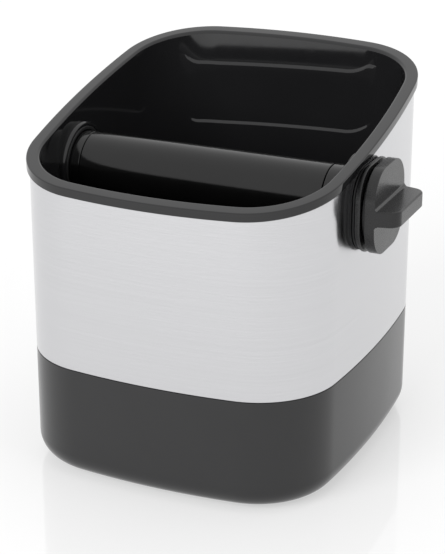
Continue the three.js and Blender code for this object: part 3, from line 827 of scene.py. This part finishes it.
class KNOCKBOX_OT_liner(bpy.types.Operator):
    """Rubber liner in the left boss that takes the bar's end"""

    bl_idname = "knockbox.liner"
    bl_label = "Socket liner"

    def execute(self, context):
        bore = bar().radius + 0.1 * MM
        back, front, lip = LINER_LOW.x, LINER_HIGH.x, 4.3 * MM
        bm = turned(
            [
                (back, bore - lip),
                (back, LINER_RADIUS),
                (front, LINER_RADIUS),
                (front, bore),
                (back + 0.6 * MM, bore),
                (back + 0.6 * MM, bore - lip),
                (back, bore - lip),
            ]
        )
        round_edges(bm, sharp_edges(bm, lambda at: at.x > front - NEAR), 0.4 * MM, 4)
        add_piece(bm, "boss_liner", "box", finish_of("soft_rubber"), ["socket_liner"])
        return {"FINISHED"}


class KNOCKBOX_OT_collar(bpy.types.Operator):
    """Rounded-square collar with the bayonet track, and the ring nut inside the tub"""

    bl_idname = "knockbox.collar"
    bl_label = "Collar and nut"

    def execute(self, context):
        b = bar()
        clear_of_band = 1.2 * MM
        wall = skin([(clear_of_band, level(BAR_Z / 2)), (clear_of_band, level(2 * BAR_Z))])
        flange = rounded_square(b.knob_half, b.knob_corner, plan().width / 4, COLLAR_FACE)
        round_edges(flange, sharp_edges(flange, lambda at: at.x > COLLAR_FACE - NEAR), 0.5 * MM, 3)
        tube = disk_on_bar(collar_hole() - FIT, COLLAR_LOW.x, COLLAR_FACE - 0.5 * MM)
        bm = join(cut(flange, [wall]), [tube])
        lip, lug_length = 3.3 * MM, 2.4 * MM
        track_front = COLLAR_FACE - lip
        track_back = track_front - lug_length - 2 * FIT
        half, quarter = math.radians(13), math.pi / 2
        reach = hub_radius() + 1.4 * MM
        cutters = [disk_on_bar(collar_bore(), plan().width / 4, COLLAR_FACE + OVERRUN)]
        for lug in (0, 1):
            angle = math.radians(45) + lug * math.pi
            inner = collar_bore() - FIT
            cutters.append(sector(inner, reach, angle - half, 2 * half, track_back, COLLAR_FACE + OVERRUN))
            track_turn = quarter + 2 * half
            cutters.append(sector(inner, reach, angle - quarter - half, track_turn, track_back, track_front))
        # A shallow groove round the flange, which shows as a dark line
        groove, deep = (COLLAR_FACE - 2.6 * MM, COLLAR_FACE - 1.1 * MM), 0.7 * MM
        kept = rounded_square(b.knob_half - deep, b.knob_corner - deep, groove[0] - OVERRUN, COLLAR_FACE)
        undercut = cut(disk_on_bar(2 * b.knob_half, *groove), [kept])
        bm = cut(bm, [*cutters, undercut])
        add_piece(bm, "collar", "box", finish_of("knob_plastic"), ["collar_ring"])
        self.add_nut()
        return {"FINISHED"}

    def add_nut(self):
        """Ring nut with spanner notches in its inner face."""
        bore, wall, notches = collar_hole(), 2.1 * MM, 6
        front, back = NUT_LOW.x, NUT_HIGH.x
        outer = bore + wall
        bm = turned([(front, bore), (front, outer), (back, outer), (back, bore), (front, bore)])
        round_edges(bm, sharp_edges(bm, lambda at: at.x < front + NEAR), 0.25 * MM, 3)
        depth, width = 1.1 * MM, math.radians(6.4)
        cutters = []
        for i in range(notches):
            start = i * ROUND / notches - width / 2
            middle = (front + back) / 2
            cutters.append(sector(outer - depth, outer + OVERRUN, start, width, front - FIT, middle))
        bm = cut(bm, cutters)
        add_piece(bm, "ring_nut", "box", finish_of("knob_plastic"), ["collar_nut"])


class KNOCKBOX_OT_seal(bpy.types.Operator):
    """Flat rubber seal in the groove between collar and knob"""

    bl_idname = "knockbox.seal"
    bl_label = "Face seal"

    def execute(self, context):
        inside = hub_radius() + RUNNING_FIT
        outside = (SEAL_HIGH.z - SEAL_LOW.z) / 2
        back, front = SEAL_LOW.x, SEAL_HIGH.x
        bm = turned([(back, inside), (back, outside), (front, outside), (front, inside), (back, inside)])
        round_edges(bm, sharp_edges(bm), 0.3 * MM, 3)
        add_piece(bm, "groove_seal", "seal", finish_of("soft_rubber"), ["face_seal"])
        return {"FINISHED"}


class KNOCKBOX_OT_bar(bpy.types.Operator):
    """Rubber sleeve, end cap and end screw of the knock bar"""

    bl_idname = "knockbox.bar"
    bl_label = "Knock bar"

    def execute(self, context):
        radius = bar().radius
        bore = 7.3 * MM
        left, right = RUBBER_LOW.x, RUBBER_HIGH.x
        sleeve = turned([(left, bore), (left, radius), (right, radius), (right, bore), (left, bore)], 128)
        outside = sharp_edges(sleeve, lambda at: math.hypot(at.y - BAR_Y, at.z - BAR_Z) > bore + MM)
        round_edges(sleeve, outside, 0.3 * MM, 4)
        add_piece(sleeve, "bar_sleeve", "bar", finish_of("bar_rubber"), ["bar_rubber"])
        self.add_cap(radius - 0.1 * MM)
        self.add_screw()
        return {"FINISHED"}

    def add_cap(self, radius):
        """Tapered end cap with a recess for its screw."""
        left, right = CAP_LOW.x, CAP_HIGH.x
        nose, head, shank, core = 1.2 * MM, 4.9 * MM, 2.8 * MM, 7.3 * MM
        seat = END_SCREW_LOW.x + 3.4 * MM
        core_start = right - 3 * MM
        bm = turned(
            [
                (seat, shank),
                (seat, head),
                (left, head),
                (left, radius - nose),
                (left + nose, radius),
                (right, radius),
                (right, core),
                (core_start, core),
                (core_start, shank),
                (seat, shank),
            ]
        )
        ends = sharp_edges(bm, lambda at: abs(at.x - left) < NEAR or at.x > right - NEAR)
        round_edges(bm, ends, 0.3 * MM, 3)
        add_piece(bm, "end_cap", "bar", finish_of("bar_ends"), ["bar_end_cap"])

    def add_screw(self):
        """Pan-head screw with a cross recess."""
        head, shank, height = 4.6 * MM, 2.5 * MM, 3.1 * MM
        top, tip = END_SCREW_LOW.x, END_SCREW_HIGH.x
        profile = [(top, 0), (top, head), (top + height, head), (top + height, shank), (tip, shank), (tip, 0)]
        bm = turned(profile, 48)
        round_edges(bm, sharp_edges(bm, lambda at: at.x < top + NEAR), 1.1 * MM, 4)
        arm, half, deep = 3.1 * MM, 0.5 * MM, 1.4 * MM
        bm = cut(
            bm,
            [
                block((top - deep, BAR_Y - arm, BAR_Z - half), (top + deep, BAR_Y + arm, BAR_Z + half)),
                block((top - deep, BAR_Y - half, BAR_Z - arm), (top + deep, BAR_Y + half, BAR_Z + arm)),
            ],
        )
        add_piece(bm, "end_screw", "bar", finish_of("screw_steel"), ["bar_end_screw"])


class KNOCKBOX_OT_hub(bpy.types.Operator):
    """Hub with two bayonet lugs that runs in the collar"""

    bl_idname = "knockbox.hub"
    bl_label = "Bar hub"

    def execute(self, context):
        radius = hub_radius()
        back, front = HUB_LOW.x, HUB_HIGH.x
        recess, plug = back + 11.9 * MM, 10.3 * MM
        bm = turned(
            [
                (back, 0),
                (back, radius),
                (front, radius),
                (front, plug),
                (recess, plug),
                (recess, 0),
            ]
        )
        round_edges(bm, sharp_edges(bm, lambda at: at.x < back + NEAR), 0.6 * MM, 3)
        lug_back = COLLAR_FACE - 3.3 * MM - FIT - 2.4 * MM
        half = math.radians(10)
        lugs = []
        for lug in (0, 1):
            start = math.radians(45) + lug * math.pi - half
            lugs.append(sector(radius / 2, radius + 1.1 * MM, start, 2 * half, lug_back, lug_back + 2.4 * MM))
        core_seat = disk_on_bar(7.3 * MM, back - OVERRUN, back + 3 * MM)
        screw_hole = disk_on_bar(2.8 * MM, back, front)
        bm = cut(join(bm, lugs), [core_seat, screw_hole])
        add_piece(bm, "lugged_hub", "bar", finish_of("bar_ends"), ["bar_hub"])
        return {"FINISHED"}


class KNOCKBOX_OT_knob(bpy.types.Operator):
    """Rounded-square knob with its grip wing"""

    bl_idname = "knockbox.knob"
    bl_label = "Knob"

    def execute(self, context):
        b = bar()
        face, wing_face = KNOB_BACK + b.knob_thickness, KNOB_HIGH.x
        half_thick = b.wing_thickness / 2
        bm = rounded_square(b.knob_half, b.knob_corner, KNOB_BACK, face, segments=14)
        for side in (-1, 1):
            geom = bm.verts[:] + bm.edges[:] + bm.faces[:]
            at = (0, 0, BAR_Z + side * half_thick)
            bmesh.ops.bisect_plane(bm, geom=geom, plane_co=at, plane_no=(0, 0, 1), dist=WELD)
        bm.normal_update()
        footprint = [
            f
            for f in bm.faces
            if f.normal.x > 0.99 and abs(f.calc_center_median().z - BAR_Z) < half_thick
        ]
        grown = bmesh.ops.extrude_face_region(bm, geom=footprint)
        moved = [g for g in grown["geom"] if isinstance(g, bmesh.types.BMVert)]
        bmesh.ops.translate(bm, vec=(wing_face - face, 0, 0), verts=moved)
        drawn_in = 1 - (wing_face - face) * math.tan(b.wing_taper) / b.knob_half
        to_axis = Matrix.Translation((0, -BAR_Y, 0))
        bmesh.ops.scale(bm, vec=(1, drawn_in, 1), space=to_axis, verts=moved)
        bmesh.ops.delete(bm, geom=[f for f in footprint if f.is_valid], context="FACES_ONLY")
        face_outwards(bm)
        tips = [
            e
            for e in bm.edges
            if all(v.co.x > wing_face - NEAR for v in e.verts)
            and abs(e.verts[0].co.z - e.verts[1].co.z) > MM
        ]
        round_edges(bm, tips, b.wing_corner * math.tan((math.pi / 2 - b.wing_taper) / 2), 10)
        root = sharp_edges(
            bm,
            lambda at: abs(at.x - face) < NEAR and abs(abs(at.z - BAR_Z) - half_thick) < NEAR,
        )
        root = [e for e in root if abs(e.verts[0].co.y - e.verts[1].co.y) > MM]
        round_edges(bm, root, 1.2 * MM, 5)
        outer = sharp_edges(bm, lambda at: at.x > face + 1.3 * MM)
        round_edges(bm, outer, 0.8 * MM, 4)
        rim = sharp_edges(bm, lambda at: abs(at.z - BAR_Z) > half_thick + 1.3 * MM)
        round_edges(bm, rim, 0.45 * MM, 3)
        plug = disk_on_bar(10 * MM, KNOB_LOW.x, KNOB_BACK + MM)
        bm = join(bm, [plug])
        add_piece(bm, "winged_knob", "bar", finish_of("knob_plastic"), ["knob"])
        return {"FINISHED"}


class KNOCKBOX_OT_feet(bpy.types.Operator):
    """Four rubber feet in their recesses"""

    bl_idname = "knockbox.feet"
    bl_label = "Feet"

    def execute(self, context):
        low, high = FOOT_LOW.z, FOOT_HIGH.z
        radius = (FOOT_HIGH.x - FOOT_LOW.x) / 2
        for number, place in enumerate(FOOT_PLACES, 1):
            bm = turned([(low, 0), (low, radius), (high, radius), (high, 0)], 64, place)
            round_edges(bm, sharp_edges(bm, lambda at: at.z < low + NEAR), 0.5 * MM, 4)
            name, stands_for = f"rubber_foot_{number}", [f"foot_{number}"]
            add_piece(bm, name, "box", finish_of("soft_rubber"), stands_for)
        return {"FINISHED"}


class KNOCKBOX_OT_hidden(bpy.types.Operator):
    """Finishes the packed pieces that stay as they are: core, gasket, washer and screws"""

    bl_idname = "knockbox.hidden"
    bl_label = "Inner pieces"

    def execute(self, context):
        slots = {row["node"]: row["material_slot"] for row in frame["record"]["subparts"]}
        for name, obj in frame["nodes"].items():
            if obj.hide_render:
                continue
            obj.data.materials.clear()
            obj.data.materials.append(finish_of(slots[name]))
        return {"FINISHED"}


def seen_directly(tree):
    """One for camera rays and for rays that gloss, metal or glass send on, else zero."""
    light = add_node(tree, "ShaderNodeLightPath")
    sent_on = add_node(
        tree,
        "ShaderNodeMath",
        {0: light.outputs["Is Glossy Ray"], 1: light.outputs["Is Transmission Ray"]},
        operation="MAXIMUM",
    )
    return add_node(
        tree, "ShaderNodeMath", {0: light.outputs["Is Camera Ray"], 1: sent_on.outputs[0]}, operation="MAXIMUM"
    ).outputs[0]


class KNOCKBOX_OT_stage(bpy.types.Operator):
    """White worktop, even white studio and soft lamps"""

    bl_idname = "knockbox.stage"
    bl_label = "Studio"

    def execute(self, context):
        self.add_floor()
        self.add_world()
        self.add_lamp("key", (-0.3, -1.2, 0.65), 0.9, 16)
        self.add_lamp("side", (1.0, -0.2, 0.8), 0.8, 3)
        self.add_lamp("top", (0.1, 0.3, 1.3), 1.0, 3)
        context.scene.view_settings.view_transform = "Standard"
        return {"FINISHED"}

    def add_floor(self):
        """A white gloss worktop that mirrors the object faintly and keeps its shadow."""
        bm = bmesh.new()
        bmesh.ops.create_grid(bm, x_segments=1, y_segments=1, size=4)
        bmesh.ops.translate(bm, vec=(0, 0, FOOT_LOW.z), verts=bm.verts)
        floor = scratch_object(bm, "worktop")
        material, tree, shader = start_material("gloss_white_laminate")
        shader.inputs["Base Color"].default_value = linear("#A8A8A8")
        shader.inputs["Roughness"].default_value = 0.05
        # The lit worktop is grey by itself; this lifts it to white where it is seen or mirrored
        own_light = 0.5
        lift = add_node(tree, "ShaderNodeMath", {0: seen_directly(tree), 1: own_light}, operation="MULTIPLY")
        shader.inputs["Emission Color"].default_value = (1, 1, 1, 1)
        tree.links.new(lift.outputs[0], shader.inputs["Emission Strength"])
        floor.data.materials.append(material)

    def add_world(self):
        """White wherever camera, metal and gloss look, and an even grey as soft light."""
        world = bpy.data.worlds.new("studio")
        bpy.context.scene.world = world
        world.use_nodes = True
        tree = world.node_tree
        tree.nodes.clear()
        soft_light, white = 0.6, 1.0
        strength = spread(tree, seen_directly(tree), soft_light, white, 0.0, 1.0)
        background = add_node(tree, "ShaderNodeBackground", {"Color": (1, 1, 1, 1), "Strength": strength})
        add_node(tree, "ShaderNodeOutputWorld", {"Surface": background.outputs["Background"]})

    def add_lamp(self, name, place, size, power):
        """A square soft lamp that looks at the middle of the object and isn't seen in reflections."""
        lamp = bpy.data.lights.new(name, "AREA")
        lamp.size, lamp.energy = size, power
        obj = bpy.data.objects.new(name, lamp)
        obj.location = place
        middle = Vector((0, 0, 70 * MM))
        obj.rotation_euler = (middle - obj.location).to_track_quat("-Z", "Y").to_euler()
        obj.visible_glossy = False
        bpy.context.scene.collection.objects.link(obj)


class KNOCKBOX_OT_camera(bpy.types.Operator):
    """Camera at the photograph's angle"""

    bl_idname = "knockbox.camera"
    bl_label = "Camera"

    def execute(self, context):
        azimuth, elevation = math.radians(24.16), math.radians(21.62)
        distance, target = 758.28 * MM, Vector((-1.82 * MM, 0, 67.68 * MM))
        focal_pixels, image_height, sensor = 1776.15, 554, 36
        data = bpy.data.cameras.new("camera")
        data.sensor_width = sensor
        data.lens = sensor * focal_pixels / image_height
        data.clip_start, data.clip_end = 0.05, 20
        camera = bpy.data.objects.new("camera", data)
        away = Vector(
            (
                math.sin(azimuth) * math.cos(elevation),
                -math.cos(azimuth) * math.cos(elevation),
                math.sin(elevation),
            )
        )
        camera.location = target + away * distance
        camera.rotation_euler = (math.pi / 2 - elevation, 0, azimuth)
        context.scene.collection.objects.link(camera)
        context.scene.camera = camera
        return {"FINISHED"}


class KNOCKBOX_PT_panel(bpy.types.Panel):
    """Lists the knock box's pieces and sizes"""

    bl_idname = "KNOCKBOX_PT_panel"
    bl_label = "Knock box"
    bl_space_type = "VIEW_3D"
    bl_region_type = "UI"
    bl_category = "Knock box"

    def draw(self, context):
        for operator in OPERATORS:
            self.layout.operator(operator.bl_idname)
        for name, group in GROUPS.items():
            column = self.layout.column(heading=group.__doc__)
            for field in group.__annotations__:
                column.prop(getattr(context.scene, name), field)


GROUPS = {
    "knock_box_plan": KnockBoxPlan,
    "knock_box_shells": KnockBoxShells,
    "knock_box_bar": KnockBoxBar,
    "knock_box_colours": KnockBoxColours,
}
OPERATORS = [
    KNOCKBOX_OT_camera,
    KNOCKBOX_OT_stage,
    KNOCKBOX_OT_band,
    KNOCKBOX_OT_base,
    KNOCKBOX_OT_tub,
    KNOCKBOX_OT_liner,
    KNOCKBOX_OT_collar,
    KNOCKBOX_OT_seal,
    KNOCKBOX_OT_bar,
    KNOCKBOX_OT_hub,
    KNOCKBOX_OT_knob,
    KNOCKBOX_OT_feet,
    KNOCKBOX_OT_hidden,
]


def register():
    for group in GROUPS.values():
        bpy.utils.register_class(group)
    for name, group in GROUPS.items():
        setattr(bpy.types.Scene, name, bpy.props.PointerProperty(type=group))
    for operator in OPERATORS:
        bpy.utils.register_class(operator)
    bpy.utils.register_class(KNOCKBOX_PT_panel)


def unregister():
    bpy.utils.unregister_class(KNOCKBOX_PT_panel)
    for operator in reversed(OPERATORS):
        bpy.utils.unregister_class(operator)
    for name, group in GROUPS.items():
        delattr(bpy.types.Scene, name)
        bpy.utils.unregister_class(group)


def main():
    register()
    bpy.ops.knockbox.camera()
    bpy.ops.knockbox.stage()
    bpy.ops.knockbox.band()
    bpy.ops.knockbox.base()
    bpy.ops.knockbox.tub()
    bpy.ops.knockbox.liner()
    bpy.ops.knockbox.collar()
    bpy.ops.knockbox.seal()
    bpy.ops.knockbox.bar()
    bpy.ops.knockbox.hub()
    bpy.ops.knockbox.knob()
    bpy.ops.knockbox.feet()
    bpy.ops.knockbox.hidden()


if __name__ == "__main__":
    main()
